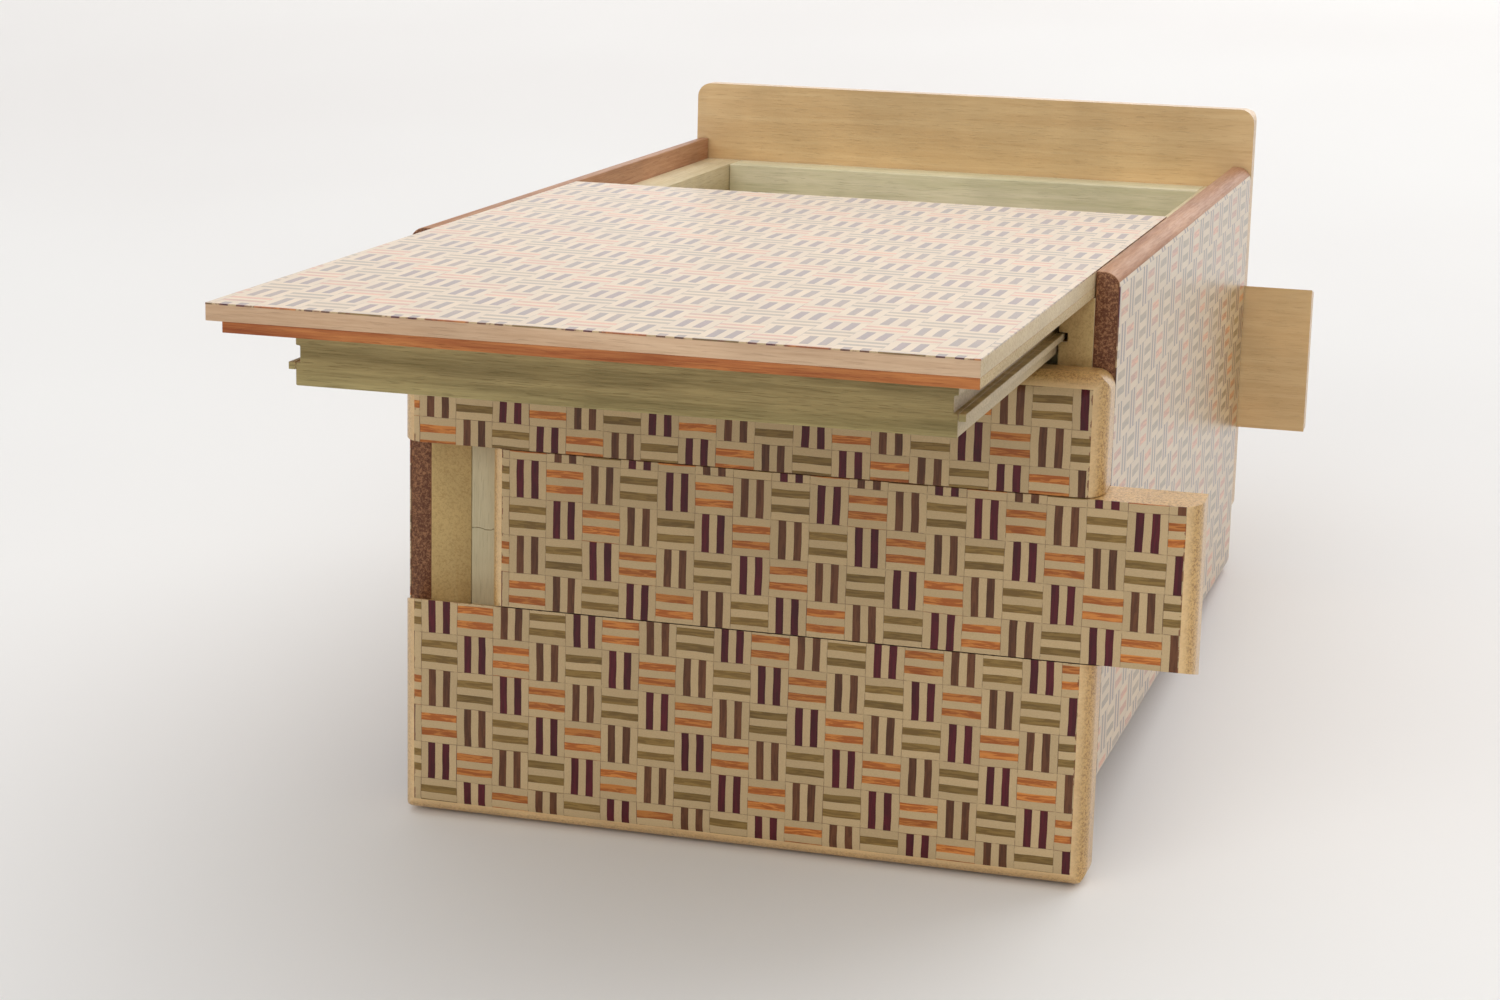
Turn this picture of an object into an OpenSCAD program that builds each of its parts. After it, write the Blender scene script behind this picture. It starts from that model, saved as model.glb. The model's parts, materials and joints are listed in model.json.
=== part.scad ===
// Sliding-panel wooden puzzle box with striped-tile marquetry veneer.
// Box frame: X across the box, Y from the near end to the far end, Z up from the underside.
// The box is drawn closed, each moving group is then slid to where it stands, and the whole
// box is leant on the lowered near panel so that it stands on the plane z = 0.

/* [Box] */
// Width of the end panels
box_w = 106; // [88:1:130]
// Length over both end panels
box_l = 154; // [128:1:190]
// Height of the closed box
box_h = 75.5; // [72:0.5:92]

/* [Boards] */
// Thickness of an end panel with its veneer
panel_t = 6.5; // [5:0.1:8]
// Thickness of a side board under its veneer
side_t = 3.3; // [2.9:0.1:4.2]
// How far the left side board stands out past the end panels
left_reveal = 1.2; // [0:0.1:1.5]
// Thickness of the inlaid veneer sheets
veneer_t = 0.2; // [0.15:0.05:0.4]
// Thickness of the grooved guide board glued inside the left side board
left_guide_t = 6.5; // [6:0.1:8]
// Thickness of the grooved guide board glued inside the right side board
right_guide_t = 5; // [4:0.1:7]
// Thickness of the two inner end walls at their caps
wall_t = 7.5; // [7:0.1:10]
// Height of the solid cap of an inner end wall
wall_cap = 4; // [3:0.1:6]
// Thickness of the compartment floor
floor_t = 2; // [1.5:0.1:3]
// Thickness of the board that ties an end panel together behind its key
back_t = 2.8; // [2.5:0.1:3.2]
// Rounding of an end panel's outer edges
edge_r = 3.2; // [1.5:0.1:3.8]
// Rounding of the side boards' outer edges
side_edge_r = 2.4; // [1.5:0.1:2.9]
// Rounding of the end panels' outline corners
corner_r = 2.6; // [2:0.1:6]

/* [Lid and bottom panel] */
// Thickness of a sliding plate with its veneer and underlay
plate_t = 3.7; // [3.2:0.1:4.5]
// Thickness of the underlay glued beneath a plate
underlay_t = 1.4; // [1:0.1:1.8]
// Step between the plate's left edge and its underlay
underlay_step = 2.3; // [1:0.1:3]
// Thickness of the inner board under a plate
inner_t = 8.6; // [8:0.1:9.5]
// Distance from a plate's leading edge to its inner board
inner_back = 12.6; // [11:0.1:18]
// Height of the sliding tongue above the inner board's free face
tongue_up = 2.1; // [1.2:0.1:2.4]
// Thickness of a sliding tongue
tongue_t = 1; // [0.8:0.1:1.2]
// How far a sliding tongue stands out of its board
tongue_out = 1; // [0.8:0.1:1.2]
// Height of the shallow recess above the tongue
recess_h = 2.2; // [1:0.1:3]
// Depth of that recess
recess_d = 0.6; // [0.3:0.1:0.8]

/* [Keys] */
// Height of the short part of an end panel, from its leading edge to its key
lead_h = 17.6; // [12:0.1:20]
// Height of a sliding key's face
key_h = 24.1; // [20:0.1:28]
// How far a key's edge rises behind its face towards the short part of the panel
flare_lead = 0.9; // [0:0.1:2]
// How far its other edge falls behind its face
flare_trail = 1.7; // [0:0.1:2]
// Distance from a key's left end to the neck behind it
neck_in = 17; // [15:0.5:20]
// Length of the neck that joins a key to its lock bar
neck_l = 20; // [14:0.5:24]
// Height of that neck
neck_h = 5; // [4:0.1:6]
// Height of the lock bar, which is taller than its window
lock_h = 6.4; // [6:0.1:7]
// Thickness of the lock bar
lock_t = 1.6; // [1.2:0.1:1.8]
// How far the lock bar goes into the left guide board
lock_in = 4.5; // [3:0.1:5]

/* [Travel] */
// Room between the lid's inner board and the near panel when that is fully lowered
lid_clear = 1.4; // [0.5:0.1:1.5]
// Full travel of a key
key_travel = 14; // [10:0.1:16]

/* [Fits] */
// Running clearance between sliding faces
gap = 0.15; // [0.1:0.01:0.2]
// Clearance of a piece that stops against another
stop_gap = 0.3; // [0.2:0.05:0.5]

/* [How far the box stands open] */
// Share of its travel by which the near end panel is lowered
near_open = 1; // [0:0.02:1]
// Share of its travel by which the near key is pulled out
near_key_open = 1; // [0:0.02:1]
// Share of its travel by which the far end panel is raised
far_open = 0.76; // [0:0.02:1]
// Share of its travel by which the far key is pulled out
far_key_open = 0.88; // [0:0.02:1]
// How far the lid is slid open
lid_open = 76.5; // [0:0.1:86.5]
// How far the bottom panel is slid open
bottom_open = 0; // [0:0.1:12]

/* [Hidden] */
$fn = 48;
over = 1;

// Body inside the two end panels
body_l = box_l - 2 * panel_t;
side_in = box_w / 2 - veneer_t - side_t;
left_side_in = side_in + left_reveal;
left_in = left_side_in - left_guide_t;
right_in = side_in - right_guide_t;
rim_z = box_h - plate_t - gap;
under_z = plate_t + gap;
inner_z = box_h - plate_t - inner_t;
wall_top = inner_z - stop_gap;
cap_top = under_z + wall_cap;

// Sliding plates
plate_left = left_side_in - gap;
plate_right = side_in - gap;
inner_far = wall_t + stop_gap + gap;
tongue_z = inner_z + tongue_up;

// End panels and keys: an end panel travels until its edge clears the sliding plate
panel_travel = plate_t + inner_t + lid_clear;
near_drop = near_open * panel_travel;
near_key_out = near_key_open * key_travel;
far_rise = far_open * panel_travel;
far_key_out = far_key_open * key_travel;
key_z1 = box_h - lead_h;
key_z0 = key_z1 - key_h;
key_mid = (key_z0 + key_z1) / 2;
skin_y = veneer_t - panel_t;
back_z0 = cap_top + panel_travel + stop_gap;
back_z1 = rim_z - gap;
rib_t = back_t / 2;
rib_y0 = rib_t / 2;
lock_y0 = back_t + gap;
lock_y1 = lock_y0 + lock_t;
pocket_d = lock_y1 + stop_gap;
lock_x = left_in + lock_in;
neck_x0 = neck_in - box_w / 2;
neck_x1 = neck_x0 + neck_l;

// Colours
golden = [0.74, 0.56, 0.33];
end_grain = [0.40, 0.24, 0.16];
magnolia = [0.76, 0.74, 0.56];
veneer = [0.72, 0.62, 0.48];
pinkish = [0.74, 0.60, 0.48];
red_brown = [0.62, 0.36, 0.20];

// The box leans on the back edge of the lowered near panel and the far edge of its underside
lean = atan(near_drop / body_l);
reach_x = (max(near_key_out, far_key_out) - left_reveal) / 2;
near_lid_y = (gap - lid_open) * cos(lean) + (box_h - plate_t) * sin(lean);
near_panel_y = (edge_r - panel_t) * cos(lean) + (edge_r - near_drop) * sin(lean) - edge_r;
far_panel_y = (body_l + panel_t - edge_r) * cos(lean)
    + (box_h + far_rise - edge_r) * sin(lean) + edge_r;
far_plate_y = (body_l - gap + bottom_open) * cos(lean) + plate_t * sin(lean);
middle_y = (min(near_lid_y, near_panel_y) + max(far_panel_y, far_plate_y)) / 2;

// Stands the box, drawn in its own frame, on the plane z = 0
module standing()
    translate([-reach_x, -middle_y, near_drop * cos(lean)])
        rotate([-lean, 0, 0])
            children();

// The other end of the box is the same thing turned over about the X axis
module turned()
    translate([0, body_l, box_h])
        rotate([180, 0, 0])
            children();

module near_panel_at() translate([0, 0, -near_drop]) children();
module near_key_at() translate([near_key_out, 0, 0]) near_panel_at() children();
module far_panel_at() turned() translate([0, 0, -far_rise]) children();
module far_key_at() far_panel_at() translate([far_key_out, 0, 0]) children();
module lid_at() translate([0, -lid_open, 0]) children();
module bottom_at() turned() translate([0, -bottom_open, 0]) children();

// A block from its two X, two Y and two Z limits
module block(x0, x1, y0, y1, z0, z1)
    translate([x0, y0, z0])
        cube([x1 - x0, y1 - y0, z1 - z0]);

// A strip w wide, from y = -d to y = 0, with its two front corners rounded
module strip_outline(w, d, r) {
    translate([-w / 2, r - d]) square([w, d - r]);
    translate([r - w / 2, -d]) square([w - 2 * r, d]);
    for (side = [-1, 1])
        translate([side * (w / 2 - r), r - d]) circle(r);
}

// The face of an end panel, with rounded corners
module face_outline() {
    translate([-box_w / 2, corner_r]) square([box_w, box_h - 2 * corner_r]);
    translate([corner_r - box_w / 2, 0]) square([box_w - 2 * corner_r, box_h]);
    for (x = [corner_r - box_w / 2, box_w / 2 - corner_r], z = [corner_r, box_h - corner_r])
        translate([x, z]) circle(corner_r);
}

// A whole closed end panel, with all its outer edges rounded
module panel_blank()
    intersection() {
        translate([0, -gap, 0]) linear_extrude(box_h) strip_outline(box_w, panel_t - gap, edge_r);
        translate([0, -gap, box_h / 2])
            rotate([0, -90, 0])
                linear_extrude(box_w, center = true)
                    strip_outline(box_h, panel_t - gap, edge_r);
        rotate([90, 0, 0]) linear_extrude(panel_t) face_outline();
    }

// Level of a saw cut at depth y, when it meets the face at z and ends a flare away behind it
function cut_level(z, flare, y) = z + flare * (y + panel_t) / panel_t;

// The part of an end panel from y0 to y1, between two sloping saw cuts
module panel_slice(low, high, y0, y1)
    intersection() {
        panel_blank();
        rotate([90, 0, 90])
            linear_extrude(2 * box_w, center = true)
                polygon([
                    [y0, cut_level(low[0], low[1], y0)], [y1, cut_level(low[0], low[1], y1)],
                    [y1, cut_level(high[0], high[1], y1)], [y0, cut_level(high[0], high[1], y0)]]);
    }

// Each cut is its level on the face and its flare: the key's two cuts widen it towards its back
function lead_cut(side) = [key_z1 + side * gap / 2, flare_lead];
function trail_cut(side) = [key_z0 + side * gap / 2, -flare_trail];

module lead_part(y0, y1) panel_slice(lead_cut(1), [box_h + over, 0], y0, y1);
module trail_part(y0, y1) panel_slice([-over, 0], trail_cut(-1), y0, y1);
module key_part(y0, y1) panel_slice(trail_cut(1), lead_cut(-1), y0, y1);

module lead_board() color(golden) lead_part(skin_y, -gap);
module lead_veneer() color(veneer) lead_part(-panel_t - over, skin_y);
module trail_board() color(golden) trail_part(skin_y, -gap);
module trail_veneer() color(veneer) trail_part(-panel_t - over, skin_y);
module key_board() color(golden) key_part(skin_y, -2 * gap);
module key_veneer() color(veneer) key_part(-panel_t - over, skin_y);

// Board behind an end panel: it ties the two fixed parts together and guides the key
module back_board()
    color(magnolia)
        difference() {
            union() {
                block(gap - left_in, right_in - gap, -gap, back_t, back_z0, back_z1);
                block(-left_in - tongue_out, right_in + tongue_out, rib_y0, rib_y0 + rib_t,
                    back_z0, back_z1);
            }
            block(neck_x0 - stop_gap, neck_x1 + key_travel + stop_gap, -over, back_t + over,
                key_mid - neck_h / 2 - gap, key_mid + neck_h / 2 + gap);
        }

// Neck behind a key and the bar that locks into the left guide board
module key_lock()
    color(golden) {
        block(neck_x0, neck_x1, -2 * gap, lock_y1, key_mid - neck_h / 2, key_mid + neck_h / 2);
        block(-lock_x, neck_x1, lock_y0, lock_y1, key_mid - lock_h / 2, key_mid + lock_h / 2);
    }

// Half of the grooves in a right guide board whose inner face is at x;
// turning the box over gives the other half
module guide_grooves(x) {
    depth = tongue_out + stop_gap;
    block(x - over, x + depth, -over, body_l + over, tongue_z - gap, tongue_z + tongue_t + gap);
    block(x - over, x + depth, rib_y0 - gap, rib_y0 + rib_t + gap,
        back_z0 - panel_travel - stop_gap, rim_z + over);
}

// Notches for the lock bar, with the panel closed and with it slid open
module lock_notches() {
    half = lock_h / 2 + gap;
    for (z = [[key_mid - half, key_mid + half],
              [key_mid - panel_travel - half, key_mid - panel_travel * 3 / 4 + half]])
        block(-lock_x - stop_gap, over - left_in, lock_y0 - gap, lock_y1 + gap, z[0], z[1]);
}

// A grooved guide board on the right, with its inner face at x and its outer face at side_x
module guide(x, side_x)
    difference() {
        block(x, side_x, 0, body_l, under_z, rim_z);
        guide_grooves(x);
        turned() guide_grooves(x);
    }

module inner_wall()
    color(magnolia)
        difference() {
            block(-left_in, right_in, 0, wall_t, under_z, wall_top);
            block(-box_w, box_w, -over, pocket_d, cap_top, box_h);
        }

// Outline of the right side board and its veneer, with rounded outer edges, on the XZ plane
module side_outline()
    translate([side_in, -box_h / 2])
        rotate(90)
            strip_outline(box_h, side_t + veneer_t, side_edge_r);

module side_slab() rotate([-90, 0, 0]) linear_extrude(body_l) side_outline();

module right_side()
    color(end_grain)
        intersection() {
            side_slab();
            block(side_in, side_in + side_t, -over, body_l + over, -over, box_h + over);
        }

module right_skin()
    color(veneer)
        intersection() {
            side_slab();
            block(side_in + side_t, box_w, -over, body_l + over, -over, box_h + over);
        }

// Pieces of a sliding plate, drawn as the closed lid
module plate_board()
    color(pinkish)
        block(-plate_left, plate_right, gap, body_l - gap,
            box_h - plate_t + underlay_t, box_h - veneer_t);

module plate_veneer()
    color(veneer)
        block(-plate_left, plate_right, gap, body_l - gap, box_h - veneer_t, box_h);

module plate_underlay()
    color(red_brown)
        block(underlay_step - plate_left, plate_right, gap, body_l - gap,
            box_h - plate_t, box_h - plate_t + underlay_t);

module plate_inner()
    color(magnolia)
        difference() {
            block(stop_gap - left_in, right_in - stop_gap, inner_back, body_l - inner_far,
                inner_z, box_h - plate_t);
            for (x = [stop_gap - left_in, right_in - stop_gap])
                block(x - recess_d, x + recess_d, 0, body_l,
                    tongue_z + tongue_t, tongue_z + tongue_t + recess_h);
        }

module plate_tongues()
    color(magnolia)
        for (x = [stop_gap - left_in - tongue_out, right_in - stop_gap])
            block(x, x + tongue_out, inner_back, body_l - inner_far, tongue_z, tongue_z + tongue_t);

module left_side_at() translate([-left_reveal, 0, 0]) mirror([1, 0, 0]) children();

module left_side_board() standing() left_side_at() right_side();
module right_side_board() standing() right_side();
module left_side_veneer() standing() left_side_at() right_skin();
module right_side_veneer() standing() right_skin();

module left_guide_board()
    standing()
        color(magnolia)
            difference() {
                mirror([1, 0, 0]) guide(left_in, left_side_in);
                lock_notches();
                turned() lock_notches();
            }

module right_guide_board() standing() color(magnolia) guide(right_in, side_in);
module near_inner_wall() standing() inner_wall();
module far_inner_wall() standing() turned() inner_wall();

module compartment_floor()
    standing()
        color(magnolia)
            block(-left_in, right_in, wall_t, body_l - wall_t,
                box_h - wall_top, box_h - wall_top + floor_t);

module near_top_board() standing() near_panel_at() lead_board();
module near_bottom_board() standing() near_panel_at() trail_board();
module near_top_veneer() standing() near_panel_at() lead_veneer();
module near_bottom_veneer() standing() near_panel_at() trail_veneer();
module near_back_board() standing() near_panel_at() back_board();
module near_key_board() standing() near_key_at() key_board();
module near_key_veneer() standing() near_key_at() key_veneer();
module near_key_lock() standing() near_key_at() key_lock();

module far_bottom_board() standing() far_panel_at() lead_board();
module far_top_board() standing() far_panel_at() trail_board();
module far_bottom_veneer() standing() far_panel_at() lead_veneer();
module far_top_veneer() standing() far_panel_at() trail_veneer();
module far_back_board() standing() far_panel_at() back_board();
module far_key_board() standing() far_key_at() key_board();
module far_key_veneer() standing() far_key_at() key_veneer();
module far_key_lock() standing() far_key_at() key_lock();

module lid_board() standing() lid_at() plate_board();
module lid_veneer() standing() lid_at() plate_veneer();
module lid_underlay() standing() lid_at() plate_underlay();
module lid_inner_board() standing() lid_at() plate_inner();
module lid_tongues() standing() lid_at() plate_tongues();

module bottom_board() standing() bottom_at() plate_board();
module bottom_veneer() standing() bottom_at() plate_veneer();
module bottom_underlay() standing() bottom_at() plate_underlay();
module bottom_inner_board() standing() bottom_at() plate_inner();
module bottom_tongues() standing() bottom_at() plate_tongues();

left_side_board();
right_side_board();
left_side_veneer();
right_side_veneer();
left_guide_board();
right_guide_board();
near_inner_wall();
far_inner_wall();
compartment_floor();
near_top_board();
near_bottom_board();
near_top_veneer();
near_bottom_veneer();
near_back_board();
near_key_board();
near_key_veneer();
near_key_lock();
far_bottom_board();
far_top_board();
far_bottom_veneer();
far_top_veneer();
far_back_board();
far_key_board();
far_key_veneer();
far_key_lock();
lid_board();
lid_veneer();
lid_underlay();
lid_inner_board();
lid_tongues();
bottom_board();
bottom_veneer();
bottom_underlay();
bottom_inner_board();
bottom_tongues();
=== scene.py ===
"""Sliding-panel puzzle box: woods, marquetry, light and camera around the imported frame."""
import json
import math

import bmesh
import bpy
from mathutils import Matrix, Vector


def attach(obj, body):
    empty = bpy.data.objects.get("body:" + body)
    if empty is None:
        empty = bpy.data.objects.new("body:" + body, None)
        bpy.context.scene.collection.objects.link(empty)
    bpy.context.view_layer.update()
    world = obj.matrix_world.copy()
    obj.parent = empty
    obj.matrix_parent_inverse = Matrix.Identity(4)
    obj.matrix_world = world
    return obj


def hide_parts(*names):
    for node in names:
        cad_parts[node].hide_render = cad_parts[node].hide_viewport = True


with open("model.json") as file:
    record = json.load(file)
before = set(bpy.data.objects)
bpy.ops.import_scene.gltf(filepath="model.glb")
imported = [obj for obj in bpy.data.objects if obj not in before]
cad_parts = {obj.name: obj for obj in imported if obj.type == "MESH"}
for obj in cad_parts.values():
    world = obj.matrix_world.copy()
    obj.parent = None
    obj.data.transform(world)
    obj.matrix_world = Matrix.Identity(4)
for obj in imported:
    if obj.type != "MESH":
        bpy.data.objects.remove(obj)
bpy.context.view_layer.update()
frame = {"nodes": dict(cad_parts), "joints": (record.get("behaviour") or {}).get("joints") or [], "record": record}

MM = 0.001

# The box leans, so its own directions come from the slides that follow them
slides = {joint["name"]: Vector(joint["axis"]) for joint in frame["joints"]}
ACROSS = Vector((1, 0, 0))
ALONG = slides["bottom_panel_slide"]
UP = slides["near_panel_slide"]
LEAN = math.atan2(-ALONG.z, ALONG.y)

# Directions of the box by their parts across, along and up it
RIGHT, LEFT = (1, 0, 0), (-1, 0, 0)
FAR, NEAR = (0, 1, 0), (0, -1, 0)
RISE, FALL = (0, 0, 1), (0, 0, -1)


def in_frame(direction):
    """A direction of the box along the frame's own axes."""
    return sum((part * axis for part, axis in zip(direction, (ACROSS, ALONG, UP))), Vector())


def reach(node, direction):
    """Lowest and highest place of a node's points along a direction, in metres."""
    places = [vertex.co.dot(direction) for vertex in frame["nodes"][node].data.vertices]
    return min(places), max(places)


left_face, right_face = reach("near_top_board", ACROSS)
near_end = reach("right_side_board", ALONG)[0]
underside = reach("right_side_board", UP)[0]
ORIGIN = (left_face + right_face) / 2 * ACROSS + near_end * ALONG + underside * UP


def at(x, y, z):
    """The point of the box, in millimetres from the middle of its near lower edge."""
    return ORIGIN + MM * (x * ACROSS + y * ALONG + z * UP)


def placed(name, data):
    """A new object in the scene that holds a mesh, a light or a camera."""
    made = bpy.data.objects.new(name, data)
    bpy.context.scene.collection.objects.link(made)
    return made


# ---------------------------------------------------------------- shader building

DISPLAY_TOP = 255
COAT_ROUGHNESS = 0.34
COAT_IOR = 1.42
# The Mix node's colour sockets by place, because its other sockets share their names
MIX_FIRST, MIX_SECOND, MIX_RESULT = 6, 7, 2


def shade(red, green, blue):
    """A colour from its 0 to 255 display values, by the sRGB curve."""
    channels = [value / DISPLAY_TOP for value in (red, green, blue)]
    linear = [c / 12.92 if c <= 0.04045 else ((c + 0.055) / 1.055) ** 2.4 for c in channels]
    return (*linear, 1.0)


class Shader:
    """A material's node tree. Most methods add a node and return one of its outputs."""

    def __init__(self, name, specular, varnish=0.0):
        self.material = bpy.data.materials.new(name)
        self.material.use_nodes = True
        self.tree = self.material.node_tree
        self.surface = self.tree.nodes["Principled BSDF"]
        self.surface.inputs["Specular IOR Level"].default_value = specular
        self.surface.inputs["Coat Weight"].default_value = varnish
        self.surface.inputs["Coat Roughness"].default_value = COAT_ROUGHNESS
        self.surface.inputs["Coat IOR"].default_value = COAT_IOR

    def plug(self, socket, value):
        """Link a node's output to the socket, or set the socket to a plain value."""
        if isinstance(value, bpy.types.NodeSocket):
            self.tree.links.new(value, socket)
        else:
            socket.default_value = value

    def node(self, kind, inputs=None, **settings):
        made = self.tree.nodes.new("ShaderNode" + kind)
        for setting, value in settings.items():
            setattr(made, setting, value)
        for key, value in (inputs or {}).items():
            self.plug(made.inputs[key], value)
        return made

    def math(self, operation, *values):
        inputs = dict(enumerate(values))
        return self.node("Math", inputs, operation=operation).outputs[0]

    def vector(self, operation, first, second):
        made = self.node("VectorMath", {0: first, 1: second}, operation=operation)
        return made.outputs["Value" if operation == "DOT_PRODUCT" else "Vector"]

    def between(self, value, low, high, start=0.0, end=1.0):
        """value taken smoothly from low..high to start..end."""
        inputs = {"Value": value, "From Min": low, "From Max": high, "To Min": start, "To Max": end}
        return self.node("MapRange", inputs, interpolation_type="SMOOTHSTEP").outputs["Result"]

    def blend(self, factor, first, second, kind="MIX"):
        inputs = {"Factor": factor, MIX_FIRST: first, MIX_SECOND: second}
        return self.node("Mix", inputs, data_type="RGBA", blend_type=kind).outputs[MIX_RESULT]

    def brighten(self, colour, amount):
        """colour with all three channels times amount, which darkens it below 1."""
        return self.blend(1.0, colour, self.gather(amount, amount, amount), "MULTIPLY")

    def noise(self, place, scale, detail=3.0, roughness=0.55, distortion=0.0):
        inputs = {"Vector": place, "Scale": scale, "Detail": detail, "Roughness": roughness,
                  "Distortion": distortion}
        return self.node("TexNoise", inputs).outputs["Fac"]

    def chance(self, place):
        """An even random number for each whole-number place."""
        return self.node("TexWhiteNoise", {"Vector": place}, noise_dimensions="3D").outputs["Value"]

    def gather(self, x, y, z):
        return self.node("CombineXYZ", {0: x, 1: y, 2: z}).outputs[0]

    def box_place(self):
        """Millimetres along the box's own width, length and height."""
        place = self.node("TexCoord").outputs["Object"]
        inputs = {"Vector": place, "Location": ORIGIN, "Rotation": (-LEAN, 0, 0), "Scale": (MM,) * 3}
        return self.node("Mapping", inputs, vector_type="TEXTURE").outputs[0]

    def facing(self, direction):
        """1 on faces square to a direction of the box, 0 on faces along it."""
        normal = self.node("TexCoord").outputs["Normal"]
        return self.math("ABSOLUTE", self.vector("DOT_PRODUCT", normal, in_frame(direction)))

    def bump(self, height, depth):
        """Relief of the given depth in millimetres."""
        inputs = {"Height": height, "Distance": depth * MM, "Strength": 1.0}
        return self.node("Bump", inputs).outputs[0]

    def finish(self, colour, roughness, normal):
        """Join the last outputs to the surface and return the material."""
        self.plug(self.surface.inputs["Base Color"], colour)
        self.plug(self.surface.inputs["Roughness"], roughness)
        self.plug(self.surface.inputs["Normal"], normal)
        return self.material


# ---------------------------------------------------------------- plain woods

# Names ending in _NOISE hold a noise's repeats in a millimetre, its detail, and its roughness
# where that is set. Names ending in _RANGE hold the low and high value that smooth steps run
# between, and what those two become where that is not 0 and 1.
BAND_NOISE = (2.0, 0.5, 0.6)  # detail, roughness and distortion; each wood has its own scale
FIBRE_NOISE = (3.4, 4.0, 0.7)
PORE_NOISE = (6.5, 2.0, 0.5)
BLOTCH_NOISE = (0.07, 2.0)
SPECKLE_NOISE = (2.6, 5.0, 0.8)
STREAK_RANGE = (0.32, 0.68)
PORE_RANGE = (0.60, 0.70)
BLOTCH_RANGE = (0.35, 0.65, 0.94, 1.05)
SPECKLE_RANGE = (0.44, 0.62)
CUT_END_RANGE = (0.55, 0.9)
CUT_EDGE_RANGE = (0.6, 0.98, 1.0, 0.0)
ROUGH_RANGE = (0.3, 0.7)

WOOD_SPECULAR = 0.25
WOOD_RELIEF = 0.04
SEED_STEP = Vector((31.0, 17.0, 23.0))
DRAWN_OUT = 0.96  # the part of a noise's scale that is taken off along the grain
BAND_SHARE = 0.55  # of the streaks; the fibres have the rest
PORE_DARKNESS = 0.4
PORE_DEPTH = 0.8  # against the fibres' height
SMOOTHER, ROUGHER = 0.06, 0.08

MARK_HEIGHT = 30.4
MARK_COLOUR = shade(120, 100, 66)
MARK_DARKNESS = 0.7
MARK_DEPTH = 2.0  # against the fibres' height
MARK_RANGE = (0.05, 0.16, 1.0, 0.0)  # half widths of the mark, in millimetres
STRAY_NOISE = (0.5, 3.0)
STRAY_RANGE = (0.3, 0.7, -0.5, 0.5)  # how far the mark strays up and down, in millimetres


def wood(name, light, dark, end, end_fleck, grain, band=5.0, contrast=1.0, roughness=0.5,
         varnish=0.0, seed=0.0, flat=None, scratch=None):
    """Sawn wood: growth bands, band millimetres wide, and fine fibres run along grain, and
    cut ends are speckled. flat is the direction that plain faces look in when every edge of
    the board is speckled; scratch is the height of a knife mark across the board, in
    millimetres."""
    s = Shader(name, WOOD_SPECULAR, varnish)
    place = s.vector("ADD", s.box_place(), seed * SEED_STEP)
    squash = Vector((1, 1, 1)) - DRAWN_OUT * Vector(grain)
    drawn = s.vector("MULTIPLY", place, squash)
    bands = s.noise(drawn, 1 / band, *BAND_NOISE)
    fibres = s.noise(drawn, *FIBRE_NOISE)
    pores = s.between(s.noise(drawn, *PORE_NOISE), *PORE_RANGE)
    streak = s.math("ADD", s.math("MULTIPLY", s.between(bands, *STREAK_RANGE), BAND_SHARE),
                    s.math("MULTIPLY", s.between(fibres, *STREAK_RANGE), 1 - BAND_SHARE))
    colour = s.blend(s.math("MULTIPLY", streak, contrast), light, dark)
    colour = s.blend(s.math("MULTIPLY", pores, PORE_DARKNESS * contrast), colour, dark)
    blotch = s.between(s.noise(place, *BLOTCH_NOISE), *BLOTCH_RANGE)
    if flat is None:
        cut = s.between(s.facing(grain), *CUT_END_RANGE)
    else:
        cut = s.between(s.facing(flat), *CUT_EDGE_RANGE)
    speckle = s.between(s.noise(place, *SPECKLE_NOISE), *SPECKLE_RANGE)
    ends = s.blend(speckle, end, end_fleck)
    colour = s.blend(cut, colour, ends)
    colour = s.brighten(colour, blotch)
    relief = s.math("ADD", fibres, s.math("MULTIPLY", pores, -PORE_DEPTH))
    if scratch is not None:
        height = s.vector("DOT_PRODUCT", s.box_place(), RISE)
        strayed = s.math("ADD", height, s.between(s.noise(place, *STRAY_NOISE), *STRAY_RANGE))
        away = s.math("ABSOLUTE", s.math("SUBTRACT", strayed, scratch))
        mark = s.between(away, *MARK_RANGE)
        colour = s.blend(s.math("MULTIPLY", mark, MARK_DARKNESS), colour, MARK_COLOUR)
        relief = s.math("SUBTRACT", relief, s.math("MULTIPLY", mark, MARK_DEPTH))
    rough = s.between(fibres, *ROUGH_RANGE, roughness - SMOOTHER, roughness + ROUGHER)
    return s.finish(colour, rough, s.bump(relief, WOOD_RELIEF))


golden = wood("golden_panel_wood", shade(236, 203, 150), shade(216, 176, 121),
              shade(218, 177, 112), shade(164, 118, 62), grain=RIGHT, band=1.6, contrast=0.7,
              roughness=0.42, varnish=1.0, seed=1, flat=FAR)
side_brown = wood("side_brown_wood", shade(192, 144, 108), shade(160, 108, 76),
                  shade(100, 58, 36), shade(166, 118, 82), grain=FAR, band=2.2,
                  varnish=0.15, seed=2)
guide_ochre = wood("guide_ochre_wood", shade(228, 212, 176), shade(206, 186, 142),
                   shade(200, 172, 116), shade(182, 152, 98), grain=FAR, band=4.0,
                   roughness=0.55, seed=3)
magnolia_cream = wood("magnolia_cream_wood", shade(240, 228, 194), shade(214, 206, 164),
                      shade(200, 186, 134), shade(176, 162, 110), grain=RIGHT, band=2.0,
                      roughness=0.55, seed=4)
magnolia_olive = wood("magnolia_olive_wood", shade(182, 166, 112), shade(132, 118, 70),
                      shade(204, 184, 148), shade(178, 160, 124), grain=RIGHT, band=1.8,
                      varnish=0.3, seed=5)
backing_pale = wood("backing_pale_wood", shade(212, 200, 166), shade(190, 178, 142),
                    shade(186, 172, 132), shade(168, 152, 112), grain=RISE, band=6.0,
                    contrast=0.7, seed=6, scratch=MARK_HEIGHT)
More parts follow.
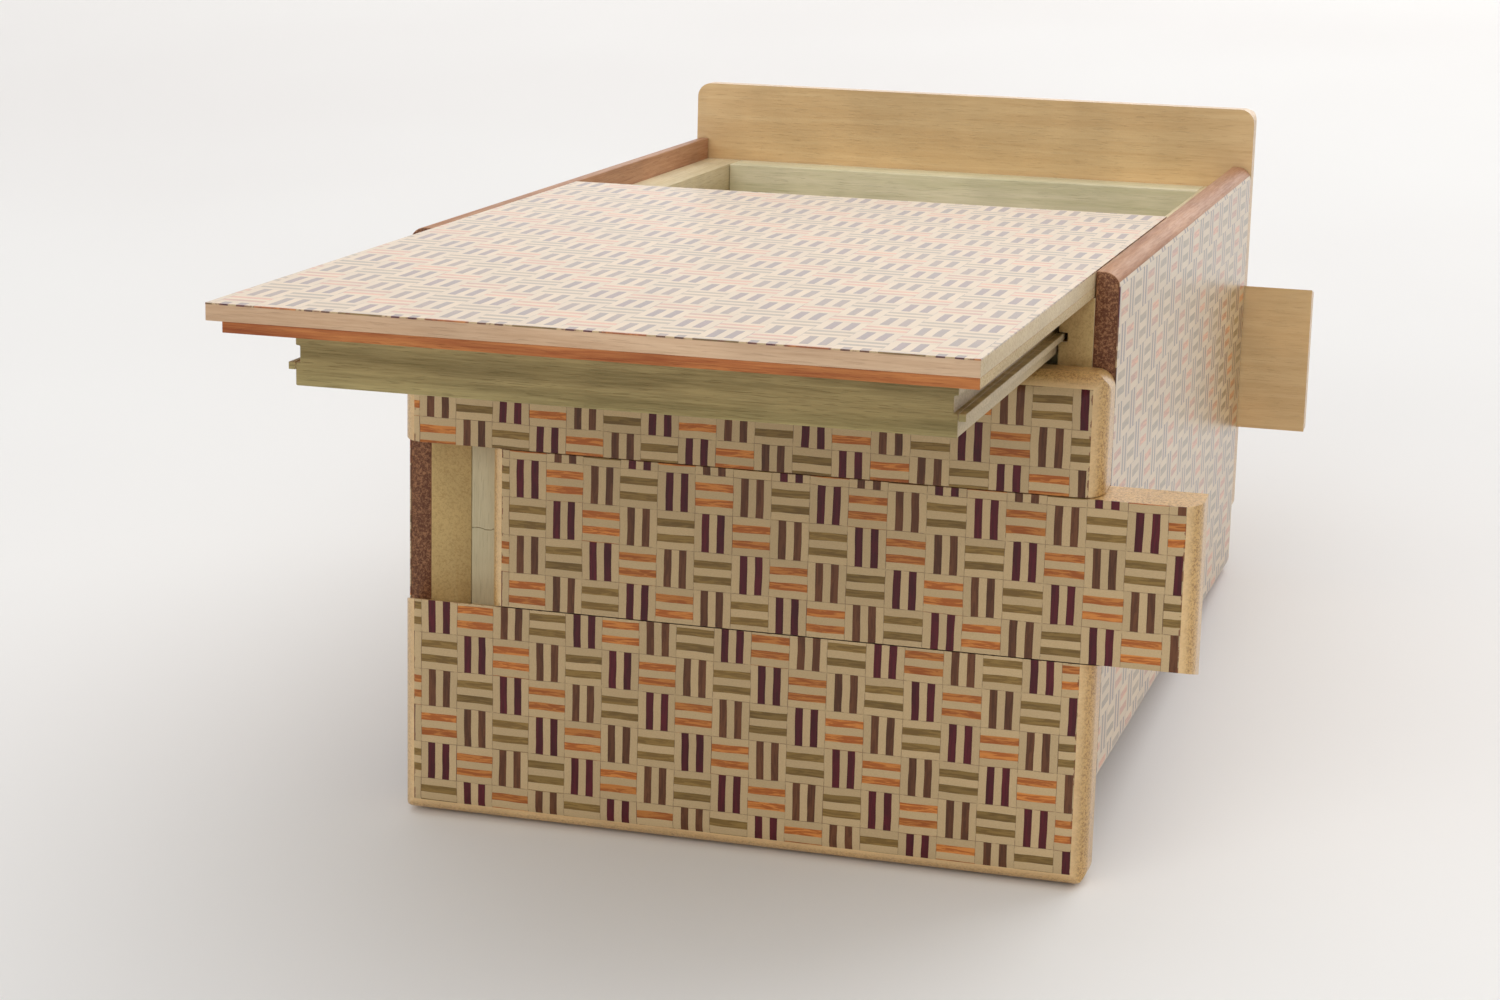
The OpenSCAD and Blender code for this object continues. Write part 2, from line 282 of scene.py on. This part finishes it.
lid_maple = wood("lid_pale_wood", shade(222, 190, 156), shade(196, 160, 126),
                 shade(212, 192, 154), shade(192, 166, 124), grain=RIGHT, band=2.6,
                 roughness=0.45, varnish=0.3, seed=7)
underlay_red = wood("underlay_red_wood", shade(198, 128, 72), shade(146, 74, 38),
                    shade(204, 182, 140), shade(176, 146, 102), grain=RIGHT, band=1.4, seed=8)


# ---------------------------------------------------------------- marquetry

TILE = 5.77
STRIPS = 5
PALE = shade(200, 174, 132)
GLUE = shade(118, 88, 60)
WORN = shade(120, 66, 38)
SPECK = shade(90, 66, 46)
# Stripe woods in the order they follow each other along a row, and the wavy one's place there
STRIPES = [shade(80, 8, 22), shade(182, 104, 42), shade(98, 58, 32), shade(134, 106, 54)]
ORANGE = 1.0
SAME_KIND = 0.2
# Whole rounds of the stripe woods added to a tile's count, so that none is below zero
ROUNDS = 1000.0

SWAY_NOISE = (0.21, 1.0)
SWAY = 0.05  # spread of how far rows and columns wander, in tiles
SLIP = 0.03  # spread of how far a tile's strips are out of place, in tiles
# Grain and flecks repeat in tiles scaled along a strip, across it, and from strip to strip
STRIP_SCALE = (0.9, 9.0, 40.0)
GRAIN_NOISE = (1.6, 4.0, 0.6, 0.8)  # the last is its distortion
FLECK_NOISE = (3.5, 3.0, 0.7)
FLECK_SCALE = (6.0, 2.0, 1.0)
EVEN_RANGE, EVEN_TONES = (0.42, 0.58), ((0.80, 0.76, 0.72, 1), (1.18, 1.2, 1.22, 1))
WAVY_RANGE, WAVY_TONES = (0.44, 0.58), ((0.84, 0.76, 0.68, 1), (1.3, 1.62, 1.95, 1))
PALE_RANGE, PALE_TONES = (0.3, 0.7), ((0.92, 0.9, 0.87, 1), (1.05, 1.05, 1.05, 1))
STRIPE_LUCK_RANGE = (0.0, 1.0, 0.84, 1.14)
PALE_LUCK_RANGE = (0.0, 1.0, 0.93, 1.05)
SEAM_RANGE = (0.02, 0.075, 1.0, 0.0)  # half widths of a glue line, in millimetres
BROKEN_NOISE = (1.1, 2.0)
BROKEN_RANGE = (0.35, 0.6, 0.08, 0.62)
RIM_NOISE = (0.9, 3.0)
RIM_RANGE = (0.35, 0.65, 0.0, 0.5)  # how far the worn rim comes and goes, in millimetres
RIM_SPARED = 0.18  # how much narrower wear is at the top and bottom, in millimetres
WORN_RANGE = (0.16, 0.34, 0.8, 0.0)
SPECK_NOISE = (5.0, 2.0)
SPECK_RANGE = (0.7, 0.76, 0.0, 0.35)
GRAIN_HEIGHT = 0.5  # against a seam's depth
VENEER_ROUGH_RANGE = (0.3, 0.7, 0.32, 0.42)
VENEER_RELIEF = 0.03


def marquetry(node, right, down, margin, top, first, polish):
    """Striped tiles on a veneer sheet. right and down are box directions on the sheet, margin
    and top are the parts of a tile left of and above the first whole one, first is the
    stripe wood of that one, and polish is how much the sheet shines beneath its varnish."""
    s = Shader(node + "_marquetry", polish, varnish=1.0)
    place = s.box_place()

    def span(direction):
        """The sheet's two edges along a direction of the box, in millimetres."""
        line = in_frame(direction)
        return [(edge - ORIGIN.dot(line)) / MM for edge in reach(node, line)]

    def count(direction, part):
        """Tiles along a direction from the first whole one."""
        tiles = s.math("DIVIDE", s.vector("DOT_PRODUCT", place, direction), TILE)
        return s.math("SUBTRACT", tiles, span(direction)[0] / TILE + part)

    def inset(direction):
        """Distance in from the nearer of the sheet's two edges along a direction."""
        here = s.vector("DOT_PRODUCT", place, direction)
        low, high = span(direction)
        return s.math("MINIMUM", s.math("SUBTRACT", here, low), s.math("SUBTRACT", high, here))

    def rim(value):
        """Distance from the nearer edge of a tile, in tiles."""
        return s.math("MINIMUM", value, s.math("SUBTRACT", 1.0, value))

    sway = s.math("MULTIPLY", s.math("SUBTRACT", s.noise(place, *SWAY_NOISE), 0.5), SWAY)
    u = s.math("ADD", count(right, margin), sway)
    v = s.math("ADD", count(down, top), sway)
    column, row = s.math("FLOOR", u), s.math("FLOOR", v)
    in_u, in_v = s.math("SUBTRACT", u, column), s.math("SUBTRACT", v, row)
    rounds = ROUNDS * len(STRIPES)
    order = s.math("ADD", s.math("SUBTRACT", column, row), first + rounds)
    kind = s.math("MODULO", order, float(len(STRIPES)))
    lying = s.math("MODULO", order, 2.0)
    luck = s.chance(s.gather(column, row, 0.0))

    def choose(standing_value, lying_value):
        """One value on tiles with upright strips and another on those with level ones."""
        return s.node("Mix", {"Factor": lying, "A": standing_value, "B": lying_value},
                      data_type="FLOAT").outputs[0]

    slip = s.math("MULTIPLY", s.math("SUBTRACT", luck, 0.5), SLIP)
    across = s.math("ADD", choose(in_u, in_v), slip)
    along = choose(in_v, in_u)
    strip = s.math("FLOOR", s.math("MULTIPLY", across, float(STRIPS)))
    dyed = s.math("MODULO", strip, 2.0)
    strip_luck = s.chance(s.gather(column, row, s.math("ADD", strip, 1.0)))

    strip_place = [s.math("MULTIPLY", value, scale)
                   for value, scale in zip((along, across, strip_luck), STRIP_SCALE)]
    grain_place = s.gather(*strip_place)
    grain = s.noise(grain_place, *GRAIN_NOISE)
    fleck = s.noise(s.vector("MULTIPLY", grain_place, FLECK_SCALE), *FLECK_NOISE)

    ramp_place = s.math("MULTIPLY", s.math("ADD", kind, 0.5), 1 / len(STRIPES))
    ramp = s.node("ValToRGB", {"Fac": ramp_place})
    ramp.color_ramp.interpolation = "CONSTANT"
    stops = ramp.color_ramp.elements
    while len(stops) < len(STRIPES):
        stops.new(0.5)
    for index, stripe in enumerate(STRIPES):
        stops[index].position = index / len(STRIPES)
        stops[index].color = stripe
    is_orange = s.math("COMPARE", kind, ORANGE, SAME_KIND)
    even = s.blend(s.between(grain, *EVEN_RANGE), *EVEN_TONES)
    wavy = s.blend(s.between(grain, *WAVY_RANGE), *WAVY_TONES)
    stripe = s.blend(1.0, ramp.outputs["Color"], s.blend(is_orange, even, wavy), "MULTIPLY")
    stripe = s.brighten(stripe, s.between(strip_luck, *STRIPE_LUCK_RANGE))
    pale_luck = s.between(strip_luck, *PALE_LUCK_RANGE)
    pale_tone = s.blend(s.between(fleck, *PALE_RANGE), *PALE_TONES)
    pale = s.brighten(s.blend(1.0, PALE, pale_tone, "MULTIPLY"), pale_luck)
    colour = s.blend(dyed, pale, stripe)

    joint = s.math("MULTIPLY", s.math("MINIMUM", rim(in_u), rim(in_v)), TILE)
    seam = s.between(joint, *SEAM_RANGE)
    broken = s.between(s.noise(place, *BROKEN_NOISE), *BROKEN_RANGE)
    colour = s.blend(s.math("MULTIPLY", seam, broken), colour, GLUE)
    rim_inset = s.math("MINIMUM", inset(right), s.math("ADD", inset(down), RIM_SPARED))
    worn = s.math("ADD", rim_inset, s.between(s.noise(place, *RIM_NOISE), *RIM_RANGE))
    colour = s.blend(s.between(worn, *WORN_RANGE), colour, WORN)
    specks = s.between(s.noise(place, *SPECK_NOISE), *SPECK_RANGE)
    colour = s.blend(specks, colour, SPECK)

    relief = s.math("ADD", s.math("MULTIPLY", grain, GRAIN_HEIGHT), s.math("MULTIPLY", seam, -1.0))
    rough = s.between(fleck, *VENEER_ROUGH_RANGE)
    return s.finish(colour, rough, s.bump(relief, VENEER_RELIEF))


# Each veneer sheet with the directions that its rows run in and its columns go down, the
# part tiles at its left and top edges, the stripe wood of its first whole tile, and its polish
SHEETS = [
    ("near_top_veneer", RIGHT, FALL, 0.17, 0.0, 3, 0.0),
    ("near_key_veneer", RIGHT, FALL, 0.22, 0.22, 0, 0.0),
    ("near_bottom_veneer", RIGHT, FALL, 0.22, -0.13, 0, 0.0),
    ("far_top_veneer", LEFT, FALL, 0.22, 0.0, 3, 0.0),
    ("far_key_veneer", LEFT, FALL, 0.22, 0.22, 0, 0.0),
    ("far_bottom_veneer", LEFT, FALL, 0.22, -0.13, 0, 0.0),
    ("right_side_veneer", FAR, FALL, 0.3, 0.1, 1, 0.6),
    ("left_side_veneer", NEAR, FALL, 0.4, 0.2, 2, 0.6),
    ("lid_veneer", RIGHT, NEAR, 0.15, 0.1, 0, 0.6),
    ("bottom_veneer", RIGHT, FAR, 0.3, 0.2, 2, 0.6),
]


def paint(piece, material):
    piece.data.materials.clear()
    piece.data.materials.append(material)


for node, right, down, margin, top, first, polish in SHEETS:
    paint(frame["nodes"][node], marquetry(node, right, down, margin, top, first, polish))


# ---------------------------------------------------------------- eased boards

# Boards by wood, with how far their sawn edges are rounded off, in millimetres. A board with
# 0 is only painted and keeps its CAD shape.
BOARDS = [
    (golden, 0.0, ["near_top_board", "near_bottom_board", "near_key_board",
                   "far_top_board", "far_bottom_board", "far_key_board"]),
    (side_brown, 0.2, ["left_side_board", "right_side_board"]),
    (guide_ochre, 0.12, ["left_guide_board", "right_guide_board"]),
    (magnolia_cream, 0.25, ["near_inner_wall", "far_inner_wall", "compartment_floor"]),
    (magnolia_olive, 0.2, ["lid_inner_board", "bottom_inner_board"]),
    (magnolia_olive, 0.1, ["lid_tongues", "bottom_tongues"]),
    (backing_pale, 0.12, ["near_back_board", "far_back_board"]),
    (golden, 0.12, ["near_key_lock", "far_key_lock"]),
    (lid_maple, 0.05, ["lid_board", "bottom_board"]),
    (underlay_red, 0.05, ["lid_underlay", "bottom_underlay"]),
]
SAWN_EDGE = math.radians(40)
SAME_PLANE = math.radians(0.5)
SAME_POINT = 0.001
EDGE_STEPS = 2
ROUND_PROFILE = 0.5

body_of = {node: body for body, nodes in frame["record"]["behaviour"]["bodies"].items()
           for node in nodes}


def ease(node, radius, material):
    """Put a copy of a board with its sharp edges sanded round in the CAD node's place."""
    mesh = bmesh.new()
    mesh.from_mesh(frame["nodes"][node].data)
    bmesh.ops.remove_doubles(mesh, verts=mesh.verts, dist=SAME_POINT * MM)
    bmesh.ops.dissolve_limit(mesh, angle_limit=SAME_PLANE, verts=mesh.verts, edges=mesh.edges)
    sharp = [edge for edge in mesh.edges
             if len(edge.link_faces) == 2 and edge.calc_face_angle() > SAWN_EDGE]
    bmesh.ops.bevel(mesh, geom=sharp, offset=radius * MM, segments=EDGE_STEPS,
                    profile=ROUND_PROFILE, affect="EDGES", clamp_overlap=True)
    data = bpy.data.meshes.new(node + "_eased")
    mesh.to_mesh(data)
    mesh.free()
    data.shade_smooth()
    data.set_sharp_from_angle(angle=SAWN_EDGE)
    piece = placed(node + "_eased", data)
    data.materials.append(material)
    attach(piece, body_of[node])
    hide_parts(node)


for material, radius, nodes in BOARDS:
    for node in nodes:
        if radius:
            ease(node, radius, material)
        else:
            paint(frame["nodes"][node], material)


# ---------------------------------------------------------------- floor, light and camera

# Sizes of the floor and its sweep are in metres
FLOOR_REACH = 3.0
SWEEP_START = FLOOR_REACH / 2
SWEEP_RADIUS = 0.9
SWEEP_STEPS = 24
PAPER_SPECULAR = 0.2
PAPER_ROUGHNESS = 0.85
PAPER_RELIEF = 0.01
PAPER_NOISE = (3.0, 2.0)  # repeats in a metre here, and detail
PAPER_RANGE = (0.3, 0.7)
PAPER_TONES = (shade(236, 234, 232), shade(240, 239, 237))


def pale_floor():
    """A floor that sweeps up into a backdrop behind the box."""
    profile = [(-FLOOR_REACH, 0.0), (SWEEP_START, 0.0)]
    for step in range(1, SWEEP_STEPS + 1):
        angle = math.radians(90) * step / SWEEP_STEPS
        profile.append((SWEEP_START + SWEEP_RADIUS * math.sin(angle),
                        SWEEP_RADIUS * (1 - math.cos(angle))))
    profile.append((SWEEP_START + SWEEP_RADIUS, FLOOR_REACH))
    data = bpy.data.meshes.new("floor")
    points = [(side * FLOOR_REACH, y, z) for y, z in profile for side in (-1, 1)]
    faces = [(2 * k, 2 * k + 1, 2 * k + 3, 2 * k + 2) for k in range(len(profile) - 1)]
    data.from_pydata(points, [], faces)
    data.shade_smooth()
    floor = placed("floor", data)
    paper = Shader("floor_paper", PAPER_SPECULAR)
    place = paper.node("TexCoord").outputs["Object"]
    mottle = paper.between(paper.noise(place, *PAPER_NOISE), *PAPER_RANGE)
    tone = paper.blend(mottle, *PAPER_TONES)
    data.materials.append(paper.finish(tone, PAPER_ROUGHNESS, paper.bump(mottle, PAPER_RELIEF)))


# Each light with its place and size in metres, its power in watts, and its tint
LIGHTS = [
    ("window_light", (0.8, 1.5, 1.1), (1.6, 1.2), 14.0, (1.0, 1.0, 0.995)),
    ("backdrop_glow", (-0.5, 1.45, 0.36), (2.8, 0.7), 5.0, (1.0, 0.92, 0.88)),
    ("ceiling_light", (0.3, -0.3, 1.9), (3.0, 3.0), 31.5, (1.0, 1.0, 1.0)),
    ("fill_light", (-0.6, -1.5, 0.8), (1.4, 1.0), 7.0, (1.0, 0.985, 0.96)),
]
LIT_POINT = at(0, 70, 30)
SKY_COLOUR = shade(246, 246, 248)
SKY_STRENGTH = 0.3


def soft_light(name, place, size, power, tint):
    """A rectangular light that shines on a point near the middle of the box."""
    data = bpy.data.lights.new(name, "AREA")
    data.shape = "RECTANGLE"
    data.size, data.size_y = size
    data.energy = power
    data.color = tint
    lamp = placed(name, data)
    lamp.location = place
    lamp.rotation_euler = (LIT_POINT - Vector(place)).to_track_quat("-Z", "Y").to_euler()


pale_floor()
for light in LIGHTS:
    soft_light(*light)

world = bpy.data.worlds.new("studio")
bpy.context.scene.world = world
world.use_nodes = True
sky = world.node_tree.nodes["Background"]
sky.inputs["Color"].default_value = SKY_COLOUR
sky.inputs["Strength"].default_value = SKY_STRENGTH

# Camera, by the point it looks at and the way it looks there
AIM = at(4.85, -18.1, 42.5)
CAMERA_AZIMUTH = math.radians(16.40)
CAMERA_HEIGHT_ANGLE = math.radians(18.02)
CAMERA_ROLL = math.radians(-0.21)
CAMERA_DISTANCE = 440.0 * MM
CAMERA_LENS = 74.8

camera_data = bpy.data.cameras.new("camera")
camera_data.lens = CAMERA_LENS
camera = placed("camera", camera_data)
turn = (Matrix.Rotation(CAMERA_AZIMUTH, 4, "Z")
        @ Matrix.Rotation(math.radians(90) - CAMERA_HEIGHT_ANGLE, 4, "X")
        @ Matrix.Rotation(CAMERA_ROLL, 4, "Z"))
camera.matrix_world = (Matrix.Translation(AIM) @ turn
                       @ Matrix.Translation((0, 0, CAMERA_DISTANCE)))
bpy.context.scene.camera = camera
bpy.context.scene.view_settings.view_transform = "Standard"
